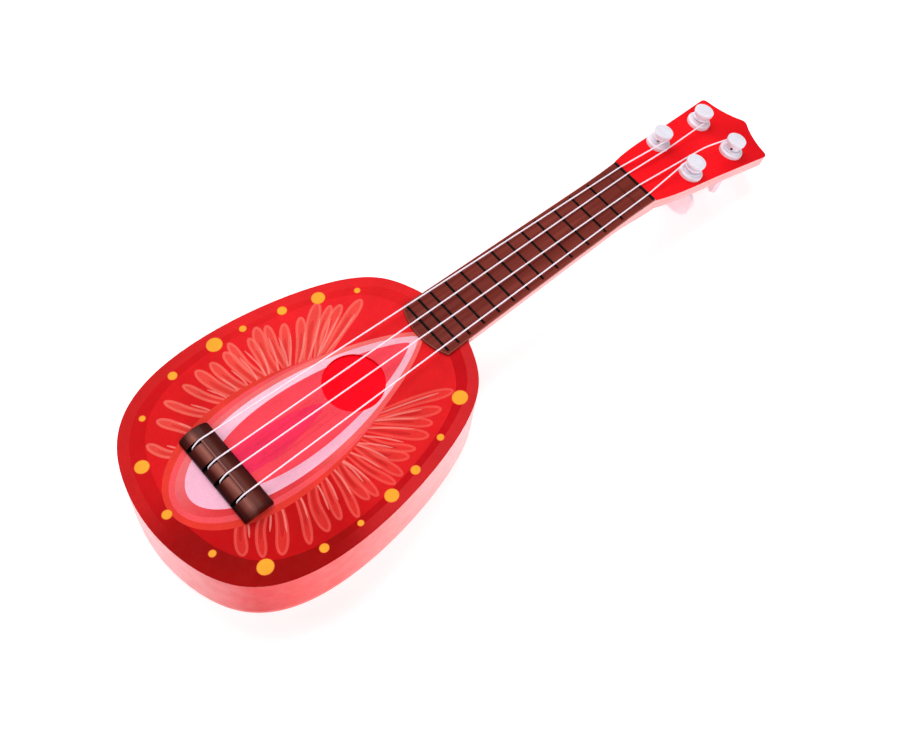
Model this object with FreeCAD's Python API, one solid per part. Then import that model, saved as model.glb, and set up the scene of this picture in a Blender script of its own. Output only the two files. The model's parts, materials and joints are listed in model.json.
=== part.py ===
import FreeCAD
import Part
import math
import os

# Toy ukulele, millimetres.  The origin is under the middle of the overall length, on the plane of
# the flat back.  +Y runs to the headstock, +X to the treble side, +Z out of the playing face.

V = FreeCAD.Vector

# ---- overall and shells ----
LENGTH = 360.0
FACE_Z = 39.0             # printed face above the flat back
FILM_T = 0.2              # print film on the face
FRONT_T = 2.5             # front shell with its film
WALL = 2.2
BACK_T = 2.0
BACK_EDGE_R = 4.5
PLATE_Z = FACE_Z - FILM_T
SEAM_Z = FACE_Z - FRONT_T

# The body outline is a pear-shaped oval: sine terms give its width, cosine terms its length.
WIDTH_TERMS = (53.4, -5.0, -2.0, 2.2, -0.2)
LENGTH_TERMS = (87.2, -4.8, -9.4, 1.8, 1.5)
OUTLINE_POINTS = 40
BODY_MID_Y = -LENGTH / 2 - sum(b * (-1) ** (k + 1) for k, b in enumerate(LENGTH_TERMS))

SOUND_HOLE_Y = -76.0
SOUND_HOLE_R = 13.8

# ---- neck and fretboard ----
NUT_Y = 93.3
NECK_HALF_W = 15.0        # half width at y = 0
NECK_TAPER = 0.0185       # half width lost per mm towards the nut
FLARE_Y = 70.0            # the neck widens again from here to the nut
FLARE = 0.65
NECK_FLOOR_Z = 26.0       # height of its rounded back
NECK_STEP = 0.45          # the rounded back is this much narrower than the strip above it
NECK_BACK_STEPS = 10
SIDE_START_Y = 68.0       # from here the neck's sides grow deeper, to SIDE_END_Y
SIDE_END_Y = 93.0
NECK_SIDE = 3.6
THROAT_START_Y = 80.0     # the back of the neck curves up to the headstock between these
THROAT_END_Y = 108.0
STRIP_Z = 40.0            # top of the raised neck strip, under the fretboard
FRETBOARD_T = 1.58        # fretboard above the printed face
FRETBOARD_INSET = 0.3
FRETBOARD_END_Y = 94.0
FRETBOARD_TAIL_Y = -35.9
FRETBOARD_TAIL_BOW = 4.2
FRET_STEPS = (19.5, 11.1, 11.1, 10.8, 9.1, 9.1, 9.0, 9.0, 9.0, 9.0, 8.6, 6.6, 6.2)
FRET_W = 1.1
FRET_H = 0.3
FRET_MARGIN = 1.55        # bare fretboard beyond each end of a fret
ENGRAVED_Y = (84.7, 85.4)
ENGRAVED_W = 0.25
ENGRAVED_DEPTH = 0.2
NUT_W = 1.1
NUT_H = 0.75
FRETBOARD_TOP = FACE_Z + FRETBOARD_T
PEG_R = 1.5               # pegs under the fretboard that locate it in the front shell
PEG_DEPTH = 1.5

# ---- headstock: u across, v along and w out of its tilted face ----
TILT = 14.52              # degrees that the face falls back
TILT_RAD = math.radians(TILT)
HEAD_Z = 40.54            # height of the face at the nut
HEAD_T = 6.0
HEAD_FLOOR = 1.6
HEAD_START_V = 1.15
TIP_V = (LENGTH / 2 - NUT_Y) / math.cos(TILT_RAD)
HEAD_SIDE = ((13.9, 0.0), (16.05, 12.1), (17.4, 24.5), (18.25, 36.0), (20.25, 58.6), (22.2, 78.4))
HEAD_CORNER = (21.7, 80.5)
HEAD_TOP = ((20.0, 81.5), (10.0, 84.3), (1.8, TIP_V - 0.6))
HEAD_PLACE = FreeCAD.Placement(V(0, NUT_Y, HEAD_Z), FreeCAD.Rotation(V(1, 0, 0), -TILT))

# ---- tuners: u and v of each, the angle of its key at rest, and the heights of its string turns ----
TUNERS = (
    (-12.0, 31.2, 35.0, (5.85, 5.15)),
    (-11.9, 63.8, 80.0, (4.2, 4.9)),
    (10.6, 63.8, -50.0, (5.85,)),
    (10.3, 31.3, 0.0, (4.5, 5.2)),
)
FLANGE_R = 5.9
FLANGE_H = 2.2
COLLAR_R = 4.7
COLLAR_H = 3.2
TUBE_R = 4.3
BORE_R = 3.0
RUNNING_FIT = 0.05
GAP = 0.3                 # between pieces that turn against each other
NECK_R = 3.6
NECK_TOP = 6.6
CAP_R = 4.8
CAP_TOP = 8.5
STRING_HOLE_W = 4.35      # height of the hole in a post for the end of a string
POST_HOLE_R = 0.7
POST_HOLE_DEPTH = 1.1
POST_HOLE_ANGLE = 18.0
SHAFT = 3.2               # side of the square shaft on the key
SOCKET_FIT = 0.03
WASHER_R = 4.8
WASHER_T = 0.7
HUB_R = 4.6
HUB_TOP = -HEAD_T - WASHER_T - GAP
KEY_T = 2.6
KEY_OUTLINE = ((3.6, -8.6), (7.3, -10.0), (9.2, -12.6), (9.7, -16.7), (8.6, -20.9), (5.5, -23.3))
KEY_TOP = -8.2
KEY_BOTTOM = -24.1

# ---- strings and bridge ----
STRING_R = 0.34
BRIDGE_Y = -142.5
BRIDGE_W = 14.5
BRIDGE_HALF_L = 22.8
BRIDGE_SIDE = 1.0
BRIDGE_H = 5.2
SADDLE_W = 1.0
SADDLE_H = 0.3
NOTCH_X = (-16.25, -5.4, 2.6, 13.9)
STRING_AT_SADDLE = (-16.6, -5.4, 2.25, 13.9)
GROOVE_DEPTH = 0.2        # grooves for the strings across the saddle
STRING_AT_NUT = (-9.7, -4.85, 3.25, 9.6)
STRING_BENDS = {1: (-5.5, 30.0, 2.9), 2: (4.1, 48.0, 4.6)}   # u, v, w where two strings bow
CORNER_REACHES = (1.0, 1.0, 1.0, 5.0)   # at the hole, the saddle, the nut and the bow
STRING_HOLE_R = 0.7
STRING_HOLE_Y = -147.2
NOTCH_W = 2.1
KNOT_R = 1.3
STRING_NUT_Z = FRETBOARD_TOP + 0.25 + STRING_R

# ---- screws: x, y, height of the back there, height where boss meets pillar ----
SHELL_SCREWS = (
    (-34.0, -150.0, 0.0, 12.0),
    (34.0, -150.0, 0.0, 12.0),
    (-36.0, -58.0, 0.0, 12.0),
    (36.0, -58.0, 0.0, 12.0),
    (0.0, 10.0, NECK_FLOOR_Z, 31.0),
    (0.0, 60.0, NECK_FLOOR_Z, 31.0),
)
SCREW_HEAD_R = 2.6
SCREW_HEAD_H = 1.8
SCREW_R = 1.25
SCREW_BITE = 5.0          # length of a screw inside its pillar
BORE_DEPTH = 3.2          # how far a screw head is sunk into the back
BOSS_R = 4.6
PILLAR_R = 3.2
HOLE_FIT = 0.05
BRIDGE_SCREW_X = 19.5
BRIDGE_SCREW_R = 1.0
BRIDGE_SCREW_TIP_Z = FACE_Z + 3.3


def cylinder(radius, bottom, top, x=0.0, y=0.0):
    return Part.makeCylinder(radius, top - bottom, V(x, y, bottom))


def box(x0, x1, y0, y1, z0, z1):
    return Part.makeBox(x1 - x0, y1 - y0, z1 - z0, V(x0, y0, z0))


def ring(outer, inner, bottom, top):
    return cylinder(outer, bottom, top).cut(cylinder(inner, bottom - 1, top + 1))


def prism(edges, bottom, top):
    """A solid between two heights from flat edges drawn at height 0."""
    face = Part.Face(Part.Wire(Part.__sortEdges__(edges)))
    face.translate(V(0, 0, bottom))
    return face.extrude(V(0, 0, top - bottom))


def spline(points):
    curve = Part.BSplineCurve()
    curve.interpolate([V(x, y, 0) for x, y in points])
    return curve.toShape()


def arc(points):
    return Part.Arc(*[V(x, y, 0) for x, y in points]).toShape()


def line(start, end):
    return Part.makeLine(V(start[0], start[1], 0), V(end[0], end[1], 0))


def mirrored(points):
    return [(-x, y) for x, y in points]


def placed(shape):
    """Move a shape from the headstock's own axes u, v, w to the part's axes."""
    shape.Placement = HEAD_PLACE.multiply(shape.Placement)
    return shape


def head_point(u, v, w):
    return HEAD_PLACE.multVec(V(u, v, w))


def body_point(angle, inset):
    """The outline at an angle from +Y, moved inwards along its normal."""
    x = sum(a * math.sin((k + 1) * angle) for k, a in enumerate(WIDTH_TERMS))
    y = sum(b * math.cos((k + 1) * angle) for k, b in enumerate(LENGTH_TERMS))
    dx = sum(a * (k + 1) * math.cos((k + 1) * angle) for k, a in enumerate(WIDTH_TERMS))
    dy = -sum(b * (k + 1) * math.sin((k + 1) * angle) for k, b in enumerate(LENGTH_TERMS))
    size = math.hypot(dx, dy)
    return V(x + inset * dy / size, BODY_MID_Y + y - inset * dx / size, 0)


def body_prism(inset, bottom, top):
    points = [body_point(2 * math.pi * i / OUTLINE_POINTS, inset) for i in range(OUTLINE_POINTS)]
    curve = Part.BSplineCurve()
    curve.interpolate(points, PeriodicFlag=True)
    return prism([curve.toShape()], bottom, top)


def rounded_body(inset, bottom, top, radius):
    solid = body_prism(inset, bottom, top)
    edges = [e for e in solid.Edges if abs(e.BoundBox.ZMax - bottom) < 1e-3]
    return solid.makeFillet(radius, edges)


def neck_half_width(y):
    flare = FLARE * (max(0.0, y - FLARE_Y) / (NUT_Y - FLARE_Y)) ** 2
    return NECK_HALF_W - NECK_TAPER * y + flare


def neck_edges(start_y, end_y, inset):
    """The two long sides of the neck seen from the front."""
    stations = [start_y, FLARE_Y, (FLARE_Y + end_y) / 2, end_y]
    points = [(neck_half_width(y) - inset, y) for y in stations]
    sides = []
    for side in (points, mirrored(points)):
        sides.append(line(side[0], side[1]))
        sides.append(spline(side[1:]))
    return sides, points[0], points[-1]


def head_half_width(v):
    """Half width of the headstock, straight between the stations of its side."""
    for (u0, v0), (u1, v1) in zip(HEAD_SIDE, HEAD_SIDE[1:]):
        if v <= v1:
            return u0 + (u1 - u0) * (v - v0) / (v1 - v0)
    return HEAD_SIDE[-1][0]


def head_outline(start_v, inset):
    """Edges of the headstock from a line across it to its tip, moved inwards by the inset."""
    start = (head_half_width(start_v) - inset, start_v)
    side = [start] + [(u - inset, v) for u, v in HEAD_SIDE[:-1] if v > start_v + 5.0]
    side.append((HEAD_SIDE[-1][0] - inset, HEAD_SIDE[-1][1] - 0.2 * inset))
    top = [(HEAD_TOP[0][0] - 0.6 * inset, HEAD_TOP[0][1] - inset)]
    top += [(u, v - 1.05 * inset) for u, v in HEAD_TOP[1:]]
    corner = [side[-1], (HEAD_CORNER[0] - 0.75 * inset, HEAD_CORNER[1] - 0.75 * inset), top[0]]
    tip = (0.0, TIP_V - 1.05 * inset)
    edges = [arc([top[-1], tip, mirrored(top)[-1]]), line(start, mirrored([start])[0])]
    for hand in (list, mirrored):
        edges.append(spline(hand(side)))
        edges.append(arc(hand(corner)))
        edges.append(arc(hand(top)))
    return edges


def head_prism(start_v, inset, bottom, top):
    return placed(prism(head_outline(start_v, inset), bottom, top))


def below_head(w):
    """All the space under a plane parallel to the headstock's face."""
    return placed(box(-80, 80, -400, 200, w - 300, w))


def smooth_share(y, start, end):
    """0 before the start, 1 after the end, and a smooth rise between them."""
    share = min(max((y - start) / (end - start), 0.0), 1.0)
    return share * share * (3 - 2 * share)


def neck_floor(y):
    """Height of the neck's rounded back, which rises to meet the back of the headstock."""
    head_back = HEAD_Z - (y - NUT_Y) * math.tan(TILT_RAD) - HEAD_T / math.cos(TILT_RAD) + 0.1
    share = smooth_share(y, THROAT_START_Y, THROAT_END_Y)
    return NECK_FLOOR_Z * (1 - share) + head_back * share


def neck_section(y, inset):
    """Closed wire across the neck: straight sides and a half-elliptical back."""
    side = smooth_share(y, SIDE_START_Y, SIDE_END_Y)
    half = neck_half_width(min(y, NUT_Y)) - NECK_STEP * (1 - side) - inset
    floor = neck_floor(y) + inset
    shoulder = SEAM_Z - 0.1 - NECK_SIDE * side
    top = SEAM_Z + 1.0
    bow = Part.BSplineCurve()
    angles = [math.pi * i / NECK_BACK_STEPS for i in range(NECK_BACK_STEPS + 1)]
    depth = shoulder - floor
    bow.interpolate([V(-half * math.cos(a), y, shoulder - depth * math.sin(a)) for a in angles])
    left = Part.makeLine(V(-half, y, top), V(-half, y, shoulder))
    right = Part.makeLine(V(half, y, shoulder), V(half, y, top))
    lid = Part.makeLine(V(half, y, top), V(-half, y, top))
    return Part.Wire([left, bow.toShape(), right, lid])


def neck_solid(start_y, end_y, inset):
    """The straight neck, and the curved throat under the nut where it reaches that far."""
    straight_end = min(end_y, SIDE_START_Y)
    straight = Part.makeLoft([neck_section(y, inset) for y in (start_y, straight_end)], True, True)
    if end_y <= SIDE_START_Y:
        return straight
    steps = 10
    stations = [SIDE_START_Y + (end_y - SIDE_START_Y) * i / steps for i in range(steps + 1)]
    throat = Part.makeLoft([neck_section(y, inset) for y in stations], True, False)
    return straight.fuse(throat)


def shell_space():
    """Everything that belongs to the back shell's side of the seam."""
    low = box(-80, 80, -200, 200, -1, SEAM_Z)
    return low.common(below_head(-FRONT_T))


def screw_boss(x, y, back_z, joint_z):
    return cylinder(BOSS_R, back_z, joint_z, x, y)


def screw_hole(x, y, back_z, joint_z):
    bore = cylinder(SCREW_HEAD_R + 0.3, back_z - 5, back_z + BORE_DEPTH, x, y)
    return bore.fuse(cylinder(SCREW_R + 0.25, back_z, joint_z + 1, x, y))


def back_shell():
    outer = rounded_body(0, 0, SEAM_Z, BACK_EDGE_R)
    outer = outer.fuse(neck_solid(-30, THROAT_END_Y, 0))
    outer = outer.fuse(head_prism(0, 0, -HEAD_T, -FRONT_T))
    shell = outer.common(shell_space())
    shell = shell.cut(rounded_body(WALL, BACK_T, SEAM_Z + 1, BACK_EDGE_R - WALL))
    shell = shell.cut(neck_solid(-17, SIDE_START_Y, WALL))
    shell = shell.cut(head_prism(20, 1.8, HEAD_FLOOR - HEAD_T, 0))
    for u, v, _, _ in TUNERS:
        shell = shell.fuse(placed(cylinder(TUBE_R + 1.6, -HEAD_T, -FRONT_T, u, v)))
    for screw in SHELL_SCREWS:
        shell = shell.fuse(screw_boss(*screw))
    for u, v, _, _ in TUNERS:
        shell = shell.cut(placed(cylinder(TUBE_R, -HEAD_T - 3, 3, u, v)))
    for screw in SHELL_SCREWS:
        shell = shell.cut(screw_hole(*screw))
    return shell.removeSplitter()


def neck_strip():
    sides, start, end = neck_edges(-30.0, NUT_Y, 0)
    edges = sides + [line(start, mirrored([start])[0]), line(end, mirrored([end])[0])]
    strip = prism(edges, SEAM_Z, STRIP_Z)
    return strip.cut(body_prism(0, PLATE_Z, STRIP_Z + 1))


def head_root():
    """The wedge where the neck strip turns down into the tilted head plate."""
    block = box(-40, 40, NUT_Y, NUT_Y + 8, SEAM_Z, STRIP_Z)
    return block.common(head_prism(0, 0, -HEAD_T, -2 * FILM_T))


def fretboard_pegs():
    return ((-8.0, -22.0), (8.0, -22.0), (0.0, 42.0))


def front_shell():
    shell = body_prism(0, SEAM_Z, PLATE_Z)
    shell = shell.fuse(neck_strip())
    shell = shell.fuse(head_root())
    shell = shell.fuse(head_prism(HEAD_START_V, 0, -FRONT_T, -FILM_T))
    for x, y, _, joint_z in SHELL_SCREWS:
        shell = shell.fuse(cylinder(PILLAR_R, joint_z, SEAM_Z + 0.5, x, y))
    for x, y, _, joint_z in SHELL_SCREWS:
        shell = shell.cut(cylinder(SCREW_R + HOLE_FIT, joint_z - 1, joint_z + SCREW_BITE + 0.3, x, y))
    shell = shell.cut(cylinder(SOUND_HOLE_R, 0, 60, 0, SOUND_HOLE_Y))
    for x, y in fretboard_pegs():
        shell = shell.cut(cylinder(PEG_R + HOLE_FIT, FACE_Z - PEG_DEPTH - 0.2, 60, x, y))
    for u, v, _, _ in TUNERS:
        shell = shell.cut(placed(cylinder(TUBE_R, -9, 3, u, v)))
    for x in NOTCH_X:
        shell = shell.cut(cylinder(STRING_HOLE_R, 30, 60, x, STRING_HOLE_Y))
    for x in (-BRIDGE_SCREW_X, BRIDGE_SCREW_X):
        shell = shell.cut(cylinder(BRIDGE_SCREW_R + FILM_T, 30, 60, x, BRIDGE_Y))
    return shell.removeSplitter()


def soundboard_print():
    film = body_prism(0.12, PLATE_Z, FACE_Z)
    film = film.cut(cylinder(SOUND_HOLE_R, 0, 60, 0, SOUND_HOLE_Y))
    for x, y in fretboard_pegs():
        film = film.cut(cylinder(PEG_R + FILM_T, 30, 60, x, y))
    for x in NOTCH_X:
        film = film.cut(cylinder(STRING_HOLE_R, 30, 60, x, STRING_HOLE_Y))
    for x in (-BRIDGE_SCREW_X, BRIDGE_SCREW_X):
        film = film.cut(cylinder(BRIDGE_SCREW_R + FILM_T, 30, 60, x, BRIDGE_Y))
    return film


def headstock_print():
    film = head_prism(HEAD_START_V, 0, -FILM_T, 0)
    for u, v, _, _ in TUNERS:
        film = film.cut(placed(cylinder(TUBE_R, -9, 3, u, v)))
    return film


def fret_positions():
    y = NUT_Y
    for step in FRET_STEPS:
        y -= step
        yield y


def fretboard():
    sides, start, end = neck_edges(FRETBOARD_TAIL_Y, FRETBOARD_END_Y, FRETBOARD_INSET)
    tail = arc([start, (0.0, FRETBOARD_TAIL_Y - FRETBOARD_TAIL_BOW), mirrored([start])[0]])
    outline = sides + [tail, line(end, mirrored([end])[0])]
    board = prism(outline, STRIP_Z, FRETBOARD_TOP)
    heel = prism(outline, FACE_Z, STRIP_Z).common(body_prism(HOLE_FIT, FACE_Z, STRIP_Z))
    board = board.fuse(heel).removeSplitter()
    top_edges = [e for e in board.Edges if e.BoundBox.ZMin > FRETBOARD_TOP - 1e-3]
    board = board.makeFillet(0.35, top_edges)
    for y in fret_positions():
        half = neck_half_width(y) - FRET_MARGIN
        fret = box(-half, half, y - FRET_W / 2, y + FRET_W / 2, FRETBOARD_TOP - 0.4, FRETBOARD_TOP + FRET_H)
        long_edges = [e for e in fret.Edges if e.BoundBox.ZMin > FRETBOARD_TOP and e.BoundBox.XLength > 1]
        board = board.fuse(fret.makeChamfer(0.2, long_edges))
    for y in ENGRAVED_Y:
        half = neck_half_width(y) - FRET_MARGIN
        top = FRETBOARD_TOP
        board = board.cut(box(-half, half, y, y + ENGRAVED_W, top - ENGRAVED_DEPTH, top + 1))
    slot_half = neck_half_width(NUT_Y) - 0.6
    board = board.cut(box(-slot_half, slot_half, NUT_Y - NUT_W / 2, NUT_Y + NUT_W / 2, STRIP_Z, 60))
    for x, y in fretboard_pegs():
        board = board.fuse(cylinder(PEG_R, FACE_Z - PEG_DEPTH, FRETBOARD_TOP - FILM_T, x, y))
    return board.removeSplitter()


def nut():
    half = neck_half_width(NUT_Y) - 0.6 - HOLE_FIT
    width = NUT_W / 2 - HOLE_FIT
    bar = box(-half, half, NUT_Y - width, NUT_Y + width, STRIP_Z, FRETBOARD_TOP + NUT_H)
    long_edges = [e for e in bar.Edges if e.BoundBox.ZMin > FRETBOARD_TOP and e.BoundBox.XLength > 1]
    bar = bar.makeFillet(0.3, long_edges)
    for x in STRING_AT_NUT:
        groove = cylinder(STRING_R + 0.08, -3, 3)
        groove.rotate(V(0, 0, 0), V(1, 0, 0), 90)
        groove.translate(V(x, NUT_Y, STRING_NUT_Z))
        slot = box(x - STRING_R - 0.08, x + STRING_R + 0.08, NUT_Y - 3, NUT_Y + 3, STRING_NUT_Z, 60)
        bar = bar.cut(groove.fuse(slot))
    return bar


def bridge_blank():
    half = BRIDGE_W / 2
    rise = BRIDGE_H - BRIDGE_SIDE
    ellipse = Part.Ellipse(V(0, 0, 0), half, rise)
    bow = Part.Arc(ellipse, 0, math.pi).toShape()
    bow.translate(V(0, BRIDGE_SIDE, 0))
    edges = [
        bow,
        line((half, 0), (half, BRIDGE_SIDE)),
        line((-half, 0), (-half, BRIDGE_SIDE)),
        line((-half, 0), (half, 0)),
    ]
    bar = prism(edges, -BRIDGE_HALF_L, BRIDGE_HALF_L)
    bow_edges = [e for e in bar.Edges if e.BoundBox.ZLength < 1e-3 and e.BoundBox.YMin > 0.5]
    bar = bar.makeFillet(0.7, bow_edges)
    turn = FreeCAD.Placement(V(0, BRIDGE_Y, FACE_Z), FreeCAD.Rotation(V(0, 1, 0), V(0, 0, 1), V(1, 0, 0)))
    bar.Placement = turn.multiply(bar.Placement)
    return bar


def notch(x):
    """Wedge-shaped slot where a string dives behind the saddle."""
    top = FACE_Z + BRIDGE_H
    tail = BRIDGE_Y - BRIDGE_W / 2 - 1
    start = (BRIDGE_Y - SADDLE_W / 2, top - 0.6)
    foot = (STRING_HOLE_Y + 1.2, FACE_Z + 1.5)
    profile = [start, foot, (tail, FACE_Z + 0.6), (tail, top + 2), (start[0], top + 2)]
    wire = Part.makePolygon([V(x - NOTCH_W / 2, y, z) for y, z in profile + [start]])
    return Part.Face(wire).extrude(V(NOTCH_W, 0, 0))


def bridge():
    first, last = NOTCH_X[0], NOTCH_X[-1]
    top = FACE_Z + BRIDGE_H
    saddle = box(first, last, BRIDGE_Y - SADDLE_W / 2, BRIDGE_Y + SADDLE_W / 2, top - 1, top + SADDLE_H)
    long_edges = [e for e in saddle.Edges if e.BoundBox.ZMin > top and e.BoundBox.XLength > 1]
    bar = bridge_blank().fuse(saddle.makeFillet(0.2, long_edges))
    for x in NOTCH_X:
        bar = bar.cut(notch(x))
        bar = bar.cut(cylinder(STRING_HOLE_R, 30, 60, x, STRING_HOLE_Y))
    for x in STRING_AT_SADDLE:
        bar = bar.cut(box(x - 0.5, x + 0.5, BRIDGE_Y - 3, BRIDGE_Y + 3, top - GROOVE_DEPTH, top + 2))
    for x in (-BRIDGE_SCREW_X, BRIDGE_SCREW_X):
        hole_r = BRIDGE_SCREW_R + HOLE_FIT
        bar = bar.cut(cylinder(hole_r, FACE_Z - 1, BRIDGE_SCREW_TIP_Z + 0.2, x, BRIDGE_Y))
    return bar.removeSplitter()


def screw(head_z, tip_z, radius, head_r, head_h, x, y):
    """Pan-head screw pointing up, with a cross recess in its head."""
    body = cylinder(radius, head_z, tip_z - 0.6, x, y)
    point = Part.makeCone(radius, radius * 0.4, 0.6, V(x, y, tip_z - 0.6))
    head = cylinder(head_r, head_z - head_h, head_z, x, y)
    rim = [e for e in head.Edges if e.BoundBox.ZMax < head_z - head_h + 1e-3 and e.Length > 3]
    head = head.makeFillet(head_h * 0.4, rim)
    recess_top = head_z - head_h * 0.4
    for wide, deep in ((head_r * 0.62, 0.3), (0.3, head_r * 0.62)):
        head = head.cut(box(x - wide, x + wide, y - deep, y + deep, head_z - head_h - 1, recess_top))
    return body.fuse(point).fuse(head)


def shell_screws():
    screws = []
    for x, y, back_z, joint_z in SHELL_SCREWS:
        seat = back_z + BORE_DEPTH
        screws.append(screw(seat, joint_z + SCREW_BITE, SCREW_R, SCREW_HEAD_R, SCREW_HEAD_H, x, y))
    return Part.makeCompound(screws)


def bridge_screws():
    sides = (-BRIDGE_SCREW_X, BRIDGE_SCREW_X)
    screws = [screw(SEAM_Z, BRIDGE_SCREW_TIP_Z, BRIDGE_SCREW_R, 2.2, 1.3, x, BRIDGE_Y) for x in sides]
    return Part.makeCompound(screws)


def tuner_bushing(u, v):
    flange = cylinder(FLANGE_R, 0, FLANGE_H)
    rim = [e for e in flange.Edges if e.BoundBox.ZMin > FLANGE_H - 1e-3]
    flange = flange.makeFillet(0.9, rim)
    collar = cylinder(COLLAR_R, 0, COLLAR_H)
    tube = cylinder(TUBE_R - HOLE_FIT, -HEAD_T, 0.5)
    solid = flange.fuse(collar).fuse(tube).cut(cylinder(BORE_R, -20, 20))
    solid.translate(V(u, v, 0))
    return placed(solid.removeSplitter())


def tuner_post(u, v, angle):
    sleeve = cylinder(BORE_R - RUNNING_FIT, 0.2 - HEAD_T, COLLAR_H + GAP)
    neck = cylinder(NECK_R, COLLAR_H + GAP, NECK_TOP)
    cap = cylinder(CAP_R, NECK_TOP, CAP_TOP)
    rims = [e for e in cap.Edges if e.BoundBox.ZLength < 1e-3]
    cap = cap.makeFillet(0.45, rims)
    solid = sleeve.fuse(neck).fuse(cap)
    half = SHAFT / 2 + SOCKET_FIT
    socket = box(-half, half, -half, half, -20, NECK_TOP - 0.8)
    socket.rotate(V(0, 0, 0), V(0, 0, 1), angle)
    solid = solid.cut(socket)
    hole = cylinder(POST_HOLE_R, 0, POST_HOLE_DEPTH + 0.5)
    hole.rotate(V(0, 0, 0), V(1, 0, 0), 90)
    hole.translate(V(0, POST_HOLE_DEPTH - NECK_R, STRING_HOLE_W))
    hole.rotate(V(0, 0, 0), V(0, 0, 1), POST_HOLE_ANGLE)
    solid = solid.cut(hole)
    solid.translate(V(u, v, 0))
    return placed(solid.removeSplitter())


def tuner_washer(u, v):
    washer = ring(WASHER_R, BORE_R + 0.3, -HEAD_T - WASHER_T, -HEAD_T)
    washer.translate(V(u, v, 0))
    return placed(washer)


def tuner_key(u, v, angle):
    side = list(KEY_OUTLINE)
    outline = [(0.0, KEY_TOP)] + side + [(0.0, KEY_BOTTOM)] + mirrored(reversed(side))
    curve = Part.BSplineCurve()
    curve.interpolate([V(p, w, 0) for p, w in outline], PeriodicFlag=True)
    paddle = prism([curve.toShape()], -KEY_T / 2, KEY_T / 2)
    rims = [e for e in paddle.Edges if e.BoundBox.ZLength < 1e-3]
    paddle = paddle.makeFillet(0.8, rims)
    paddle.rotate(V(0, 0, 0), V(1, 0, 0), 90)
    hub = cylinder(HUB_R, HUB_TOP - 2.6, HUB_TOP)
    hub = hub.makeFillet(0.5, [e for e in hub.Edges if e.BoundBox.ZLength < 1e-3])
    shaft = box(-SHAFT / 2, SHAFT / 2, -SHAFT / 2, SHAFT / 2, HUB_TOP - 1, NECK_TOP - 1.0)
    solid = paddle.fuse(hub).fuse(shaft)
    solid = solid.removeSplitter()
    solid.translate(V(u, v, 0))
    solid.rotate(V(u, v, 0), V(0, 0, 1), angle)
    return placed(solid)


def string_winding(u, v, heights):
    major = NECK_R + STRING_R + 0.02
    turns = [Part.makeTorus(major, STRING_R - 0.01, V(u, v, w)) for w in heights]
    return placed(Part.makeCompound(turns))


def winding_tangent(index):
    """Where a string meets its winding, on the side of the post that faces the middle."""
    u, v, _, heights = TUNERS[index]
    side = 1 if u < 0 else -1
    offset = NECK_R + STRING_R
    reach = offset + STRING_R + GAP + 0.1
    back = math.sqrt(reach * reach - offset * offset)
    return head_point(u + side * offset, v - back, heights[0])


def string_route(index):
    saddle_z = FACE_Z + BRIDGE_H + STRING_R
    route = [
        V(NOTCH_X[index], STRING_HOLE_Y, SEAM_Z - 1.0),
        V(NOTCH_X[index], STRING_HOLE_Y, FACE_Z + 3.4),
        V(STRING_AT_SADDLE[index], BRIDGE_Y - 1.2, saddle_z),
        V(STRING_AT_NUT[index], NUT_Y, STRING_NUT_Z),
    ]
    if index in STRING_BENDS:
        route.append(head_point(*STRING_BENDS[index]))
    return route + [winding_tangent(index)]


def tube_along(points, reaches, radius):
    """Round bar along straight runs; each corner is an arc that reaches back along both runs."""
    edges = []
    start = points[0]
    for before, corner, after, reach in zip(points, points[1:], points[2:], reaches):
        into = (corner - before).normalize()
        out = (after - corner).normalize()
        turn = into.getAngle(out)
        trim = min(0.4 * (corner - before).Length, 0.4 * (after - corner).Length, reach)
        first = corner - into * trim
        last = corner + out * trim
        centre_way = (out - into).normalize()
        centre = corner + centre_way * math.hypot(trim / math.tan(turn / 2), trim)
        radius_here = (first - centre).Length
        middle = centre + (corner - centre).normalize() * radius_here
        edges.append(Part.makeLine(start, first))
        edges.append(Part.Arc(first, middle, last).toShape())
        start = last
    edges.append(Part.makeLine(start, points[-1]))
    path = Part.Wire(edges)
    way = (points[1] - points[0]).normalize()
    profile = Part.Wire([Part.makeCircle(radius, points[0], way)])
    return path.makePipeShell([profile], True, False, 2)


def string(index):
    route = string_route(index)
    tube = tube_along(route, CORNER_REACHES, STRING_R)
    knot = Part.makeSphere(KNOT_R, V(route[0].x, route[0].y, SEAM_Z - KNOT_R - 0.02))
    return tube.fuse(knot)


def build():
    nodes = {
        "back_shell": back_shell(),
        "front_shell": front_shell(),
        "soundboard_print": soundboard_print(),
        "headstock_print": headstock_print(),
        "fretboard": fretboard(),
        "nut": nut(),
        "bridge": bridge(),
        "shell_screws": shell_screws(),
        "bridge_screws": bridge_screws(),
    }
    for index, (u, v, angle, heights) in enumerate(TUNERS):
        number = index + 1
        nodes[f"string_{number}"] = string(index)
        nodes[f"string_winding_{number}"] = string_winding(u, v, heights)
        nodes[f"tuner_bushing_{number}"] = tuner_bushing(u, v)
        nodes[f"tuner_post_{number}"] = tuner_post(u, v, angle)
        nodes[f"tuner_key_{number}"] = tuner_key(u, v, angle)
        nodes[f"tuner_washer_{number}"] = tuner_washer(u, v)
    return nodes


def main():
    os.makedirs("parts", exist_ok=True)
    for name, shape in build().items():
        low, high = shape.BoundBox.ZMin, shape.BoundBox.ZMax
        print(name, "valid", shape.isValid(), "solids", len(shape.Solids))
        print("  volume", round(shape.Volume, 1), "z", round(low, 2), round(high, 2))
        shape.exportStep(f"parts/{name}.step")


if __name__ == "__main__":
    main()
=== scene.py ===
import json
import math
import random

import bmesh
import bpy
import numpy as np
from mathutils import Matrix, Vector
from mathutils.geometry import delaunay_2d_cdt


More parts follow.
